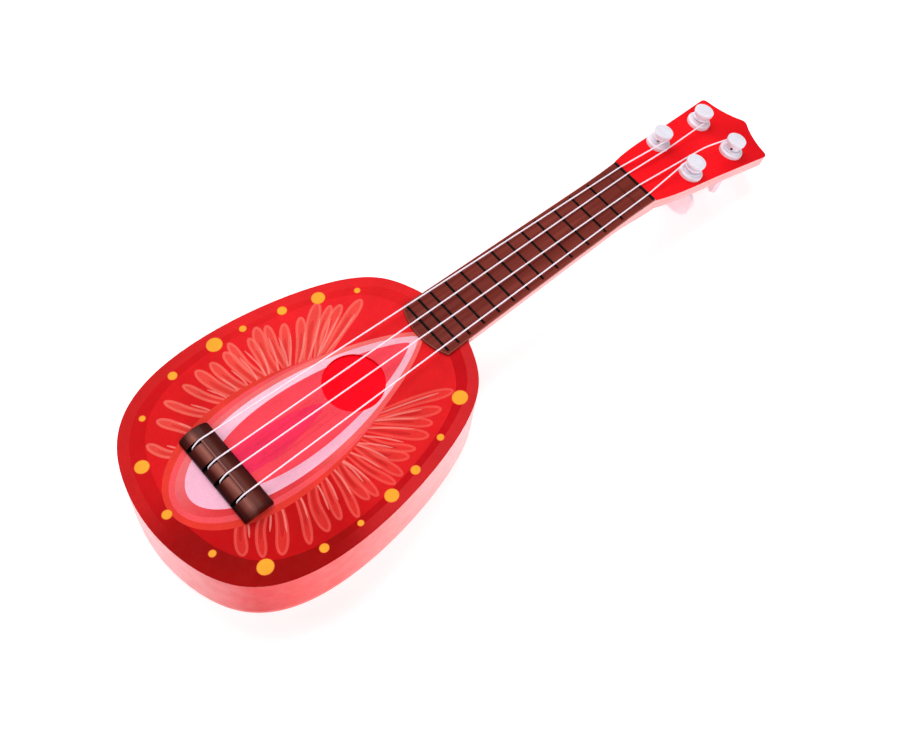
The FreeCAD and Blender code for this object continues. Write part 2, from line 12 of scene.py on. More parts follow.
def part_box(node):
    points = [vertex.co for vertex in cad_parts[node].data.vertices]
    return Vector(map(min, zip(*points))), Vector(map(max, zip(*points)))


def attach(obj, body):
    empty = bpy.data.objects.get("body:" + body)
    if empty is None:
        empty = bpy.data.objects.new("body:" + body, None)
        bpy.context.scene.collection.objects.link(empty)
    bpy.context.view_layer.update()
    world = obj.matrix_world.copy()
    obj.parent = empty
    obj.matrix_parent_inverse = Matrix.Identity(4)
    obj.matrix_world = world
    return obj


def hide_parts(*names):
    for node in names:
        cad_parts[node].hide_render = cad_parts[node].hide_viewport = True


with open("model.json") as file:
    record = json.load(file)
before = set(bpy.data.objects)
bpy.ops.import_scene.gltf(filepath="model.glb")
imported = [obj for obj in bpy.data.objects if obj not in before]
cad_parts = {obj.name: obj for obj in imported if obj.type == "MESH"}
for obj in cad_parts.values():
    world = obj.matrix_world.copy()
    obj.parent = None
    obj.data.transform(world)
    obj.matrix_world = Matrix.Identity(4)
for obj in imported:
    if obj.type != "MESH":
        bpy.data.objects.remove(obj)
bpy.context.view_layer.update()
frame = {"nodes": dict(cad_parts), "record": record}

MM = 0.001
HOLE_Y = -76.0 * MM
HOLE_R = 13.8 * MM
BODY_SCREWS = ((-34, -150), (34, -150), (-36, -58), (36, -58))
SCREW_RECESS_R = 4.7 * MM
BODY_CENTRE_Y = -97.7 * MM
BODY_END_Y = -22.0 * MM       # beyond this the throat runs up to the neck
SEAM_Z = 36.4 * MM            # just under the joint between the two shells
CHAMBER_END_Y = -12.0 * MM    # the hollow of the body ends here
NODES = frame["nodes"]
TUNER_COUNT = 4
STRING_R = 0.34 * MM
FACE_Z = 39.0 * MM
BRIDGE_Y = -142.5 * MM
BRIDGE_W = 14.5 * MM
BRIDGE_SLOTS_X = (-16.25, -5.4, 2.6, 13.9)
HEAD_PLACE = (0.0, 93.3 * MM, 40.54 * MM)
HEAD_TILT = math.radians(14.52)
TUNERS = ((-12.0, 31.2), (-11.9, 63.8), (10.6, 63.8), (10.3, 31.3))
GROOVES_Y = (84.5 * MM, 85.9 * MM)   # the two engraved lines near the nut lie between these
FILM_T = 0.2 * MM
EDGE_SOFT = 0.2 * MM
SMOOTH_ANGLE = 32.0       # edges sharper than this stay crisp
STRING_SMOOTH_ANGLE = 75.0
GLOSS_WHITE = 0.006       # the white that gloss adds to every colour of the print


def linear(colour):
    """An 8-bit sRGB colour as linear light."""
    out = []
    for c in colour:
        c = c / 255.0
        out.append(c / 12.92 if c <= 0.04045 else ((c + 0.055) / 1.055) ** 2.4)
    return tuple(out)


# ---------------------------------------------------------------- curves and shapes on the print
def smooth_line(points, step=0.9):
    """Open Catmull-Rom curve through points, sampled about every step."""
    pts = np.array(points, float)
    ext = np.vstack([2 * pts[0] - pts[1], pts, 2 * pts[-1] - pts[-2]])
    out = []
    for i in range(len(pts) - 1):
        p0, p1, p2, p3 = ext[i:i + 4]
        count = max(1, int(round(np.linalg.norm(p2 - p1) / step)))
        for t in np.arange(count) / count:
            a = 2 * p1 + (p2 - p0) * t
            b = (2 * p0 - 5 * p1 + 4 * p2 - p3) * t * t
            c = (3 * p1 - p0 - 3 * p2 + p3) * t ** 3
            out.append(0.5 * (a + b + c))
    out.append(pts[-1])
    return np.array(out)


def inside(poly, xy):
    """Which points xy lie inside a polygon (winding number)."""
    result = np.zeros(len(xy), int)
    a = poly
    b = np.roll(poly, -1, 0)
    for (x0, y0), (x1, y1) in zip(a, b):
        side = (x1 - x0) * (xy[:, 1] - y0) - (xy[:, 0] - x0) * (y1 - y0)
        result += (y0 <= xy[:, 1]) & (y1 > xy[:, 1]) & (side > 0)
        result -= (y0 > xy[:, 1]) & (y1 <= xy[:, 1]) & (side < 0)
    return result != 0


def field(anchors, xy):
    """Colours at xy, blended smoothly between (x, y, colour) anchors."""
    total = np.zeros((len(xy), 3))
    weights = np.zeros((len(xy), 1))
    for x, y, colour in anchors:
        d = (xy[:, 0] - x) ** 2 + (xy[:, 1] - y) ** 2
        w = (1 / (d + 60.0) ** 2.5)[:, None]
        total += w * np.array(linear(colour))
        weights += w
    return total / weights


SHAPES = []


def fill(loop, colour, alpha=1.0):
    SHAPES.append((loop, colour, alpha))


def seed(x, y, rx, ry, colour):
    turn = np.arange(18) * 2 * math.pi / 18
    SHAPES.append((np.stack([x + rx * np.cos(turn), y + ry * np.sin(turn)], 1), colour, 1.0))


def stroke(points, width, colour, alpha=1.0):
    """A brush line. Width is one number, or a pair for a line that grows from one end to the other."""
    wide = width if isinstance(width, tuple) else (width, width)
    line = smooth_line(points)
    along = np.linspace(0, 1, len(line))
    half = 0.5 * (wide[0] + (wide[1] - wide[0]) * along)
    half = half * np.minimum(1.0, 0.35 + 4 * np.minimum(along, 1 - along))
    way = np.gradient(line, axis=0)
    way /= np.linalg.norm(way, axis=1)[:, None] + 1e-9
    side = np.stack([-way[:, 1], way[:, 0]], 1)
    left = line + side * half[:, None]
    right = line - side * half[:, None]
    SHAPES.append((np.vstack([left, right[::-1]]), colour, alpha))


# ---------------------------------------------------------------- the print: a plain fruit slice
# A generic pattern: every shape comes from the outline of the face or from a formula, in millimetres.
MIDDLE = np.array((0.0, BODY_CENTRE_Y / MM))
# The colours of the rim, band, flesh and halo darken towards the tail end on the side of large x: painted
# shade.
RIM = ((-50, -60, (232, 38, 42)), (50, -60, (212, 42, 46)), (-40, -165, (208, 34, 36)),
       (40, -165, (158, 15, 17)))
BAND = ((-45, -60, (228, 32, 36)), (45, -60, (198, 20, 28)), (-40, -160, (206, 22, 27)),
        (40, -160, (156, 9, 14)))
FLESH = ((-40, -60, (238, 36, 42)), (40, -60, (228, 34, 38)), (-35, -150, (222, 28, 32)),
         (40, -150, (198, 20, 23)))
HALO = ((-18, -70, (252, 118, 114)), (18, -70, (250, 100, 98)), (-20, -140, (244, 112, 116)),
        (20, -140, (232, 62, 68)))
PALE = ((0, -45, (252, 186, 202)), (-15, -100, (254, 203, 221)), (15, -110, (253, 184, 206)),
        (0, -155, (254, 188, 212)))
BORDER = 4.9              # width of the plain edge
FLESH_SHARE = 0.86        # of the outline's size
SEED_SHARE = 0.895
NECK_SECTOR = math.radians(24)    # kept clear under the end of the fretboard
LOBES_PER_SIDE = 17
LOBE_START = math.radians(30)     # counted from the neck's direction
LOBE_END = math.radians(152)
LOBE_WIDTH = 4.6
LOBE_LEAN = math.radians(9)       # the root lies this much further round than the tip
SEED_COUNT = 17
SEED_SIZES = (3.2, 1.4, 1.9, 2.8, 1.2, 1.8)
# The rings of the core from the outside in: width, top, bottom, how pointed, colour
RINGS = ((55, -52, -170, 0.5, (234, 60, 50)), (50, -44, -167.5, 0.5, (248, 85, 92)),
         (45.5, -37, -165, 0.55, HALO), (41, -40, -160.5, 0.6, PALE), (31.5, -45, -149, 0.6, (255, 75, 90)),
         (14, -92, -147, 0.4, (255, 55, 95)))

HALO_RING = 2             # the lobes grow from this ring
GRAIN_LINES = 7
GRAIN_STEP = 2.4
SEED_RIM = 0.25


def drop(width, top, bottom, point):
    """A closed drop on the centre line, its narrow end towards the neck."""
    turn = np.arange(90) * 2 * math.pi / 90
    across = np.sin(turn) * np.sin(turn / 2) ** point
    x = 0.5 * width * across / across.max()
    y = 0.5 * (top + bottom) + 0.5 * (top - bottom) * np.cos(turn)
    return np.column_stack([x, y])


def scaled(loop, share):
    return MIDDLE + (loop - MIDDLE) * share


def edge_point(loop, turn):
    """The point of a loop around MIDDLE at an angle counted from the neck's direction."""
    away = loop - MIDDLE
    gap = np.arctan2(away[:, 0], away[:, 1]) - turn
    return loop[np.argmin(np.abs((gap + math.pi) % (2 * math.pi) - math.pi))]


def draw_lobe(tip, root, bow, width, paint, edge, dark):
    """A see-through rounded lobe with a paler outline and a darker line along its middle."""
    way = (root - tip) / np.linalg.norm(root - tip)
    middle = 0.5 * (tip + root) + bow * np.array((-way[1], way[0]))
    line = smooth_line((tip, middle, root), 1.2)
    along = np.linspace(0, 1, len(line))
    half = 0.5 * width * np.sqrt(np.clip(1 - (1 - along / 0.3).clip(0) ** 2, 0.02, 1))
    half *= 1 - 0.45 * along
    way = np.gradient(line, axis=0)
    way /= np.linalg.norm(way, axis=1)[:, None]
    side = np.stack([-way[:, 1], way[:, 0]], 1) * half[:, None]
    outline = np.vstack([(line - side)[::-1], line + side])
    fill(outline, paint, 0.5)
    stroke(outline, 1.1, edge, 0.5)
    stroke(line[1 + len(line) // 4:], (0.35 * width, 0.2 * width), dark, 0.45)


def draw_lobes(flesh, halo):
    """Lobes fanned on both sides of the core, with a thin pale vein beside each."""
    draw = random.Random(11)
    for side, paint, edge, dark in ((-1, (248, 96, 84), (253, 124, 110), (216, 34, 36)),
                                    (1, (240, 66, 60), (250, 98, 88), (182, 18, 24))):
        for k in range(LOBES_PER_SIDE):
            share = (k + draw.uniform(-0.2, 0.2)) / (LOBES_PER_SIDE - 1)
            turn = LOBE_START + (LOBE_END - LOBE_START) * share
            tip = edge_point(flesh, side * turn)
            root = edge_point(halo, side * (turn + LOBE_LEAN))
            tip = root + (tip - root) * draw.uniform(0.82, 0.98)
            width = LOBE_WIDTH * draw.uniform(0.75, 1.15)
            draw_lobe(tip, root, side * draw.uniform(-1.0, 2.0), width, paint, edge, dark)
            start = root + (tip - root) * draw.uniform(0.6, 0.75) + (0, 0.6 * width)
            stroke((start, 0.5 * (start + root) + (0, 0.8), root), 0.8, (255, 152, 142), 0.55)


def draw_core():
    for *size, colour in RINGS:
        fill(drop(*size), colour)
    for k in range(GRAIN_LINES):
        x = GRAIN_STEP * (k - GRAIN_LINES // 2)
        stroke(((x, -88 - 3 * (k % 3)), (1.05 * x, -110), (x, -126 - 4 * (k % 2))), 0.7, (245, 45, 60), 0.4)


def draw_seeds(outline):
    for k in range(SEED_COUNT):
        turn = NECK_SECTOR + (k + 0.5) / SEED_COUNT * (2 * math.pi - 2 * NECK_SECTOR)
        x, y = edge_point(scaled(outline, SEED_SHARE), turn)
        size = SEED_SIZES[k % len(SEED_SIZES)]
        seed(x, y, size + SEED_RIM, 1.1 * size + SEED_RIM, (236, 96, 48))
        seed(x, y, size, 1.1 * size, (254, 172, 54))


def draw_slice(outline):
    """The whole print, from the outside in."""
    fill(inset(outline, BORDER), BAND)
    flesh = scaled(outline, FLESH_SHARE)
    fill(flesh, FLESH)
    draw_lobes(flesh, drop(*RINGS[HALO_RING][:4]))
    draw_core()
    draw_seeds(outline)


# ---------------------------------------------------------------- the printed face as one mesh
GRID_X = (-58, 58, 3.0)   # start, end and step of the points between the shapes, in millimetres
GRID_Y = (-182, -8, 3.0)


def top_loops(node, height):
    """The closed edge loops of a flat top face, each an array of x and y in millimetres."""
    bm = bmesh.new()
    bm.from_mesh(NODES[node].data)
    bmesh.ops.remove_doubles(bm, verts=bm.verts, dist=1e-6)
    faces = [f for f in bm.faces if all(abs(v.co.z - height) < 1e-5 for v in f.verts)]
    count = {}
    for f in faces:
        for e in f.edges:
            count[e] = count.get(e, 0) + 1
    rim = [e for e, n in count.items() if n == 1]
    after = {}
    for e in rim:
        for v in e.verts:
            after.setdefault(v, []).append(e)
    loops = []
    left = set(rim)
    while left:
        e = left.pop()
        start, here = e.verts
        loop = [start, here]
        while here is not start:
            e = next(x for x in after[here] if x in left)
            left.discard(e)
            here = e.other_vert(here)
            loop.append(here)
        loops.append(np.array([(v.co.x, v.co.y) for v in loop[:-1]]) / MM)
    bm.free()
    return sorted(loops, key=lambda p: -np.ptp(p[:, 1]))


def inset(loop, amount):
    """A smooth convex loop moved inwards."""
    way = np.roll(loop, -1, 0) - np.roll(loop, 1, 0)
    way /= np.linalg.norm(way, axis=1)[:, None]
    side = np.stack([-way[:, 1], way[:, 0]], 1)
    if inside(loop, loop[:1] + 0.5 * side[:1])[0]:
        return loop + amount * side
    return loop - amount * side


def print_colours(xy, centres, base):
    """Colours at the corners xy of every triangle, from the shapes that hold its centre."""
    colour = field(base, xy.reshape(-1, 2)).reshape(-1, 3, 3)
    for poly, paint, alpha in SHAPES:
        low, high = poly.min(0), poly.max(0)
        near = np.flatnonzero(((centres > low) & (centres < high)).all(1))
        if not len(near):
            continue
        hit = near[inside(poly, centres[near])]
        if isinstance(paint[0], tuple):
            new = field(paint, xy[hit].reshape(-1, 2)).reshape(-1, 3, 3)
        else:
            new = np.array(linear(paint))
        colour[hit] = colour[hit] * (1 - alpha) + new * alpha
    return np.maximum(colour - GLOSS_WHITE, 0)


def printed_film(name, node, body, thickness):
    """The print cut along the edge of every painted shape, as a thin closed film."""
    top_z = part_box(node)[1].z
    loops = top_loops(node, top_z)
    outer = loops[0]
    draw_slice(outer)
    points = []
    edges = []
    for loop in loops + [s[0] for s in SHAPES]:
        first = len(points)
        points += [Vector((x, y)) for x, y in loop]
        n = len(loop)
        edges += [(first + i, first + (i + 1) % n) for i in range(n)]
    grid = [(x, y) for x in np.arange(*GRID_X) for y in np.arange(*GRID_Y)]
    points += [Vector(p) for p in grid]
    out = delaunay_2d_cdt(points, edges, [], 0, 1e-4)
    xy = np.array([tuple(v) for v in out[0]])
    tris = np.array([f for f in out[2] if len(f) == 3])
    centres = xy[tris].mean(1)
    keep = inside(outer, centres)
    for hole in loops[1:]:
        keep &= ~inside(hole, centres)
    tris = tris[keep]
    a, b, c = (xy[tris[:, i]] for i in range(3))
    area = (b - a)[:, 0] * (c - a)[:, 1] - (b - a)[:, 1] * (c - a)[:, 0]
    tris[area < 0] = tris[area < 0][:, ::-1]
    tris = tris[np.abs(area) > 1e-7]
    colours = print_colours(xy[tris], xy[tris].mean(1), RIM)
    used, flat = np.unique(tris, return_inverse=True)
    tris = flat.reshape(-1, 3)
    n = len(used)
    top = np.column_stack([xy[used] * MM, np.full(n, top_z)])
    bottom = top - (0, 0, thickness)
    pairs = {}
    for i, tri in enumerate(tris):
        for k in range(3):
            pairs[(tri[k], tri[(k + 1) % 3])] = (i, k)
    walls = []
    wall_colours = []
    for (p, q), (i, k) in pairs.items():
        if (q, p) not in pairs:
            walls.append((p, p + n, q + n, q))
            one, two = colours[i, k], colours[i, (k + 1) % 3]
            wall_colours += [one, one, two, two]
    mesh = bpy.data.meshes.new(name)
    faces = [tuple(t) for t in tris.tolist()] + [tuple(t[::-1]) for t in (tris + n).tolist()]
    faces += [tuple(int(v) for v in w) for w in walls]
    mesh.from_pydata(np.vstack([top, bottom]).tolist(), [], faces)
    corner = np.vstack([colours.reshape(-1, 3), colours[:, ::-1].reshape(-1, 3), np.array(wall_colours)])
    layer = mesh.color_attributes.new("print", "FLOAT_COLOR", "CORNER")
    rgba = np.column_stack([corner, np.ones(len(corner))])
    layer.data.foreach_set("color", rgba.astype(np.float32).ravel())
    mesh.validate()
    piece = bpy.data.objects.new(name, mesh)
    bpy.context.scene.collection.objects.link(piece)
    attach(piece, body)
    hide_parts(node)
    return piece


# ---------------------------------------------------------------- materials
class Material:
    """A node material: add() makes a node, sets its inputs, and links those that are sockets."""

    def __init__(self, name):
        self.material = bpy.data.materials.new(name)
        self.material.use_nodes = True
        self.tree = self.material.node_tree
        self.shader = self.tree.nodes["Principled BSDF"]
        self.place = self.add("ShaderNodeTexCoord").outputs["Object"]

    def add(self, kind, values=(), **settings):
        node = self.tree.nodes.new(kind)
        for key, value in settings.items():
            setattr(node, key, value)
        for key, value in dict(values).items():
            self.put(node.inputs[key], value)
        return node

    def put(self, socket, value):
        if isinstance(value, bpy.types.NodeSocket):
            self.tree.links.new(value, socket)
        else:
            socket.default_value = value

    def set(self, **values):
        for key, value in values.items():
            self.put(self.shader.inputs[key.replace("_", " ")], value)

    def noise(self, scale, stretch=(1, 1, 1), detail=4.0, roughness=0.55):
        place = self.add("ShaderNodeMapping", {"Vector": self.place, "Scale": stretch}).outputs[0]
        values = {"Vector": place, "Scale": scale, "Detail": detail, "Roughness": roughness}
        return self.add("ShaderNodeTexNoise", values).outputs["Fac"]

    def ramp(self, factor, stops):
        node = self.add("ShaderNodeValToRGB", {"Fac": factor})
        elements = node.color_ramp.elements
        while len(elements) < len(stops):
            elements.new(0.5)
        for element, (position, colour) in zip(elements, stops):
            element.position = position
            element.color = (*linear(colour), 1)
        return node.outputs["Color"]

    def span(self, factor, low, high, start=0.3, end=0.7):
        values = {"Value": factor, "From Min": start, "From Max": end, "To Min": low, "To Max": high}
        return self.add("ShaderNodeMapRange", values).outputs["Result"]

    def mix(self, factor, one, two, blend="MIX"):
        node = self.add("ShaderNodeMix", data_type="RGBA", blend_type=blend)
        for socket, value in ((node.inputs[0], factor), (node.inputs[6], one), (node.inputs[7], two)):
            self.put(socket, (*linear(value), 1) if isinstance(value, tuple) else value)
        return node.outputs[2]

    def axis(self, name):
        return self.add("ShaderNodeSeparateXYZ", {"Vector": self.place}).outputs[name]

    def math(self, operation, one, two=0.0):
        node = self.add("ShaderNodeMath", operation=operation)
        self.put(node.inputs[0], one)
        self.put(node.inputs[1], two)
        return node.outputs[0]

    def distance(self, place, x, y):
        """How far a place is from an upright axis through x and y."""
        way = self.add("ShaderNodeVectorMath", {0: place, 1: (x, y, 0)}, operation="SUBTRACT").outputs[0]
        way = self.add("ShaderNodeVectorMath", {0: way, 1: (1, 1, 0)}, operation="MULTIPLY").outputs[0]
        return self.add("ShaderNodeVectorMath", {0: way}, operation="LENGTH").outputs["Value"]

    def within(self, value, middle, reach):
        node = self.add("ShaderNodeMath", {0: value, 1: middle, 2: reach}, operation="COMPARE")
        return node.outputs[0]

    def from_head(self):
        """Place across, along and out of the tilted face of the headstock, and its last part."""
        from_nut = self.add("ShaderNodeVectorMath", {0: self.place, 1: HEAD_PLACE}, operation="SUBTRACT")
        values = {"Vector": from_nut.outputs[0], "Angle": HEAD_TILT}
        place = self.add("ShaderNodeVectorRotate", values, rotation_type="X_AXIS").outputs[0]
        return place, self.add("ShaderNodeSeparateXYZ", {"Vector": place}).outputs["Z"]

    def bump(self, *layers):
        """Bump from (height, strength, distance) layers, coarse first."""
        normal = None
        for height, strength, distance in layers:
            values = {"Height": height, "Strength": strength, "Distance": distance}
            if normal:
                values["Normal"] = normal
            normal = self.add("ShaderNodeBump", values).outputs["Normal"]
        self.put(self.shader.inputs["Normal"], normal)


def print_material():
    m = Material("printed_film")
    paint = m.add("ShaderNodeVertexColor", layer_name="print").outputs["Color"]
    cloud = m.ramp(m.noise(70, detail=6), ((0.3, (232, 232, 232)), (0.7, (255, 255, 255))))
    paint = m.mix(0.8, paint, cloud, "MULTIPLY")
    grain = m.ramp(m.noise(1600, detail=2), ((0.35, (236, 236, 236)), (0.65, (255, 255, 255))))
    m.set(Base_Color=m.mix(0.6, paint, grain, "MULTIPLY"), Specular_IOR_Level=0.03)
    m.set(Roughness=m.span(m.noise(260, detail=5), 0.26, 0.42))
    m.bump((m.noise(90, detail=3), 0.06, 0.0006), (m.noise(2400, detail=2), 0.05, 0.0001))
    return m.material


# Colour of the outside around the body, by degrees from its lower end towards the treble side:
# even pink, with one deep red patch of painted shade that fades out on both sides, and paler pink of
# painted light further round.
SHELL_SHADE_TURN = (
    (-180, (248, 176, 176)), (0, (248, 180, 184)), (35, (218, 58, 62)), (60, (252, 100, 100)),
    (90, (254, 152, 152)), (140, (250, 196, 198)), (180, (248, 176, 176)),
)


def shell_material():
    """Pink moulding with painted shade, deepest around the lower end of the body, and a red lining inside
    the body that glows as painted light.
    """
    m = Material("shell_pink")
    radial = m.add("ShaderNodeVectorMath", {0: m.place, 1: (0.0, BODY_CENTRE_Y, 0.0)}, operation="SUBTRACT")
    radial = m.add("ShaderNodeVectorMath", {0: radial.outputs[0], 1: (1, 1, 0)}, operation="MULTIPLY")
    outward = m.add("ShaderNodeVectorMath", {0: radial.outputs[0]}, operation="NORMALIZE").outputs[0]
    flat = m.add("ShaderNodeSeparateXYZ", {"Vector": outward})
    turn = m.math("ARCTAN2", flat.outputs["X"], m.math("MULTIPLY", flat.outputs["Y"], -1.0))
    turn = m.span(turn, 0, 1, -math.pi, math.pi)
    # The pink around the body carries painted light and shade.
    pink = m.ramp(turn, [((degrees + 180) / 360, colour) for degrees, colour in SHELL_SHADE_TURN])
    pink = m.mix(m.span(m.axis("Z"), 0, 1, 0.5 * MM, 7 * MM), (248, 174, 174), pink)
    mottle = m.ramp(m.noise(55, detail=7, roughness=0.65),
                    ((0.3, (232, 224, 224)), (0.62, (255, 255, 255))))
    outside = m.mix(0.55, pink, mottle, "MULTIPLY")
    specks = m.math("GREATER_THAN", m.noise(900, detail=1), 0.66)
    outside = m.mix(m.math("MULTIPLY", specks, 0.3), outside, (196, 70, 76))
    geometry = m.add("ShaderNodeNewGeometry").outputs["True Normal"]
    normal_z = m.add("ShaderNodeSeparateXYZ", {"Vector": geometry}).outputs["Z"]
    facing = m.add("ShaderNodeVectorMath", {0: outward, 1: geometry}, operation="DOT_PRODUCT")
    inner = m.math("MAXIMUM", m.math("LESS_THAN", facing.outputs["Value"], -0.3),
                   m.math("GREATER_THAN", normal_z, 0.4))
    inner = m.math("MULTIPLY", inner, m.math("LESS_THAN", m.axis("Z"), SEAM_Z))
    inner = m.math("MULTIPLY", inner, m.math("LESS_THAN", m.axis("Y"), CHAMBER_END_Y))
    for x, y in BODY_SCREWS:
        away = m.distance(m.place, x * MM, y * MM)
        inner = m.math("MULTIPLY", inner, m.math("GREATER_THAN", away, SCREW_RECESS_R))
    # The wall of the sound hole is painted dark red: painted shade.
    rim = m.math("LESS_THAN", m.distance(m.place, 0, HOLE_Y), HOLE_R + 0.3 * MM)
    rim = m.math("MULTIPLY", rim, m.math("GREATER_THAN", m.axis("Z"), SEAM_Z))
    lining_and_glow = m.ramp(m.noise(60, detail=5), ((0.3, (244, 14, 34)), (0.7, (255, 24, 44))))
    outside = m.mix(rim, outside, (168, 8, 26))
    edge = m.math("MULTIPLY", m.within(m.axis("Z"), FACE_Z - 0.2 * MM, 0.3 * MM),
                  m.math("LESS_THAN", m.axis("Y"), BODY_END_Y))
    outside = m.mix(edge, outside, (196, 24, 30))
    seam = m.within(m.from_head()[1], -2.6 * MM, 0.2 * MM)
    seam = m.math("MULTIPLY", seam, m.math("GREATER_THAN", m.axis("Y"), HEAD_PLACE[1]))
    outside = m.mix(m.math("MULTIPLY", seam, 0.7), outside, (222, 128, 128))
    m.set(Base_Color=m.mix(inner, outside, lining_and_glow), Specular_IOR_Level=0.1)
    # The red lining inside the body also glows a little: painted light.
    m.set(Emission_Color=m.mix(inner, (0, 0, 0), lining_and_glow), Emission_Strength=0.7)
    m.set(Roughness=m.span(m.noise(180, detail=6), 0.3, 0.5))
    m.bump((m.noise(60, detail=3), 0.08, 0.0006), (m.noise(1900, detail=3), 0.08, 0.00012))
    return m.material


def head_material():
    m = Material("headstock_red")
    colour = m.ramp(m.noise(45, detail=6), ((0.3, (238, 14, 26)), (0.55, (248, 20, 30)),
                                            (0.75, (252, 28, 37))))
    deep = m.ramp(m.noise(45, detail=6), ((0.3, (188, 0, 14)), (0.7, (204, 4, 20))))
    across = m.math("ADD", m.axis("Y"), m.math("MULTIPLY", m.axis("X"), 1.2))
    colour = m.mix(m.span(across, 0, 1, 0.155, 0.225), colour, deep)
    grain = m.ramp(m.noise(1500, detail=2), ((0.35, (236, 236, 236)), (0.65, (255, 255, 255))))
    m.set(Base_Color=m.mix(0.5, colour, grain, "MULTIPLY"), Specular_IOR_Level=0.04)
    m.set(Roughness=m.span(m.noise(240, detail=5), 0.26, 0.42))
    m.bump((m.noise(80, detail=3), 0.06, 0.0006), (m.noise(2400, detail=2), 0.05, 0.0001))
    return m.material


def fretboard_material():
    """Brown board with a fine grain along it; what stands above the board is black."""
    m = Material("fretboard_brown")
    grain = m.ramp(m.noise(420, (1, 0.03, 1), 7, 0.6), ((0.3, (98, 31, 23)), (0.5, (120, 45, 36)),
                                                        (0.72, (138, 59, 48))))
    cloud = m.ramp(m.noise(30, (1, 0.3, 1), 4), ((0.3, (225, 225, 225)), (0.7, (255, 255, 255))))
    wood = m.mix(0.8, grain, cloud, "MULTIPLY")
    top_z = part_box("fretboard")[1].z
    above = m.math("GREATER_THAN", m.axis("Z"), top_z - 0.27 * MM)
    black = m.ramp(m.noise(500, detail=3), ((0.3, (3, 2, 2)), (0.7, (14, 8, 8))))
    # The rounded edges of the board are painted a lighter brown: a painted highlight.
    bevel_highlight = m.math("MULTIPLY", m.math("LESS_THAN", m.axis("Z"), top_z - 0.315 * MM),
                  m.math("GREATER_THAN", m.axis("Z"), top_z - 0.62 * MM))
    wood = m.mix(m.math("MULTIPLY", bevel_highlight, 0.6), wood, (170, 98, 86))
    # The bottoms of the two engraved lines near the nut are painted dark: painted shade.
    groove_shade = m.math("MULTIPLY", m.math("LESS_THAN", m.axis("Z"), top_z - 0.4 * MM),
                    m.math("MULTIPLY", m.math("GREATER_THAN", m.axis("Y"), GROOVES_Y[0]),
                           m.math("LESS_THAN", m.axis("Y"), GROOVES_Y[1])))
    wood = m.mix(groove_shade, wood, (46, 14, 12))
    m.set(Base_Color=m.mix(above, wood, black), Specular_IOR_Level=0.05)
    m.set(Roughness=m.span(m.noise(300, (1, 0.08, 1), 5), 0.34, 0.55))
    m.bump((m.noise(420, (1, 0.03, 1), 5), 0.12, 0.0002), (m.noise(2600, detail=2), 0.06, 0.00008))
    return m.material


# Colour across the bridge, painted light and shade: dark at the tail edge, a painted highlight behind the
# saddle, dark again at the front.
BRIDGE_LIGHT_ACROSS = (
    (0.0, (24, 4, 3)), (0.15, (74, 22, 16)), (0.36, (146, 86, 76)), (0.5, (104, 42, 33)),
    (1.0, (50, 10, 7)),
)


def bridge_material():
    """Brown moulding with painted light: painted shade inside the slots, at the ends and in a crease along
    the saddle, and painted highlights behind the saddle and on its crest.
    """
    m = Material("bridge_brown")
    along = m.math("SUBTRACT", m.axis("Y"), BRIDGE_Y)
    # Painted highlight and shade across the bridge.
    brown = m.ramp(m.span(along, 0, 1, -BRIDGE_W / 2, BRIDGE_W / 2), BRIDGE_LIGHT_ACROSS)
    grain = m.ramp(m.noise(150, (0.25, 1, 1), 6), ((0.35, (190, 180, 180)), (0.62, (255, 255, 255))))
    brown = m.mix(0.9, brown, grain, "MULTIPLY")
    # The ends of the bridge are painted darker: painted shade.
    end = m.span(m.math("ABSOLUTE", m.axis("X")), 0, 0.7, 19.5 * MM, 23.0 * MM)
    brown = m.mix(end, brown, (40, 8, 7))
    off = m.math("ABSOLUTE", along)
    saddle = m.within(m.axis("X"), (BRIDGE_SLOTS_X[0] + BRIDGE_SLOTS_X[-1]) / 2 * MM, 15.1 * MM)
    # A dark line along each side of the saddle: painted shade in the crease.
    crease_shade = m.math("MULTIPLY", m.within(off, 0.58 * MM, 0.13 * MM), saddle)
    brown = m.mix(m.math("MULTIPLY", crease_shade, 0.8), brown, (26, 5, 4))
    # A lighter band along the top of the saddle: painted highlight.
    crest_highlight = m.math("MULTIPLY", m.math("LESS_THAN", off, 0.46 * MM), saddle)
    brown = m.mix(m.math("MULTIPLY", crest_highlight, 0.45), brown, (156, 98, 90))
    wide = m.math("POWER", m.math("DIVIDE", off, BRIDGE_W / 2), 2.0)
    rise = m.math("DIVIDE", m.math("SUBTRACT", m.axis("Z"), FACE_Z + 1.0 * MM), 4.2 * MM)
    under = m.math("LESS_THAN", m.math("ADD", wide, m.math("POWER", rise, 2.0)), 0.93)
    # The inside of each slot under the rounded top is painted near black: painted shade.
    slot_shade = None
    for x in BRIDGE_SLOTS_X:
        slot = m.within(m.axis("X"), x * MM, 1.12 * MM)
        slot_shade = m.math("MAXIMUM", slot_shade, slot) if slot_shade else slot
    brown = m.mix(m.math("MULTIPLY", slot_shade, under), brown, (10, 2, 2))
    m.set(Base_Color=brown, Specular_IOR_Level=0.08)
    m.set(Roughness=m.span(m.noise(200, (0.2, 1, 1), 5), 0.16, 0.28))
    m.bump((m.noise(110, (0.2, 1, 1), 4), 0.1, 0.0004), (m.noise(2200, detail=2), 0.04, 0.00008))
    return m.material


